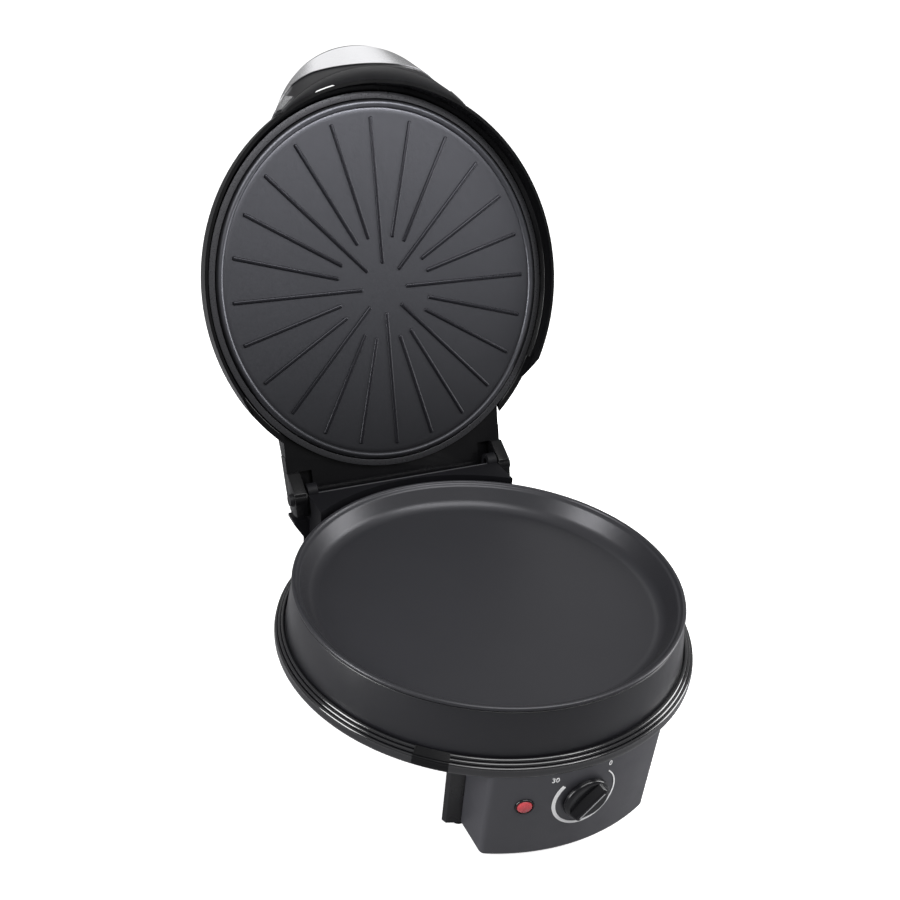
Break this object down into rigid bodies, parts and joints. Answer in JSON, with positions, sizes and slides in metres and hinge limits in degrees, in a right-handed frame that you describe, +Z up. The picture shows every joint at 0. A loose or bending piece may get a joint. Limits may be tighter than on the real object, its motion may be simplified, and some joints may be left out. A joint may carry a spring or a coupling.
{
  "type": "pizza maker",
  "caption": "Countertop pizza maker with a round pan in a heated base on four legs, a timer knob, and a hinged lid that carries an upper heating plate and a loop handle.",
  "frame": {"origin": "on the table under the centre of the pan", "axes": "+Z up, the control panel faces -Y, the hinge is at +Y and its axle runs along X"},
  "size_m": [0.339, 0.4869, 0.4626],
  "materials": {
    "housing_black": "satin moulded heat-resistant plastic",
    "lid_black": "glossy moulded heat-resistant plastic",
    "panel_bottom": "black painted sheet",
    "rubber": "matt",
    "non_stick": "dark grey non-stick coating, satin",
    "heater_sheath": "oxidised tube",
    "bright_sheet": "bright rolled sheet",
    "grey_ring": "satin grey coated sheet",
    "steel": "plated",
    "handle_steel": "brushed, satin",
    "grip_black": "satin",
    "ceramic": "unglazed ceramic",
    "white_print": "printed ink",
    "knob_black": "glossy",
    "lamp_red": "translucent",
    "lamp_glass": "clear"
  },
  "bodies": {
    "base": {"base_housing": "housing_black", "base_cover": "panel_bottom", "block_cover": "housing_black", "legs": "housing_black", "rubber_feet": "rubber", "hinge_tower": "housing_black", "baking_pan": "non_stick", "lower_element": "heater_sheath", "lower_reflector": "bright_sheet", "element_clips": "steel", "thermostat": "ceramic", "timer_body": "ceramic", "terminal_block": "ceramic", "cord_gland": "rubber", "dial_scale": "white_print", "lamp_bezel": "knob_black", "lamp_lens": "lamp_red", "lamp_bulb": "lamp_glass", "base_screws": "steel", "tower_screws": "steel"},
    "knob": {"timer_knob": "knob_black", "timer_shaft": "steel", "knob_pointer": "white_print"},
    "axle": {"hinge_axle": "steel", "axle_caps": "grip_black"},
    "lid": {"lid_shell": "lid_black", "lid_ring": "grey_ring", "upper_plate": "non_stick", "upper_element": "heater_sheath", "upper_reflector": "bright_sheet", "upper_clips": "steel", "thermal_fuse": "ceramic", "handle_grip": "grip_black", "handle_cover": "handle_steel", "plate_screws": "steel"}
  },
  "joints": [
    {"name": "timer_turn", "type": "hinge", "parent": "base", "child": "knob", "pos_m": [0, -0.169, 0.053], "axis": [0, 1, 0], "range_deg": [0, 269]},
    {"name": "lid_float", "type": "slide", "parent": "base", "child": "axle", "axis": [0, 0, 1], "range_m": [0, 0.006]},
    {"name": "lid_hinge", "type": "hinge", "parent": "axle", "child": "lid", "pos_m": [0, 0.169, 0.1296], "axis": [1, 0, 0], "range_deg": [0, 108.6]}
  ]
}
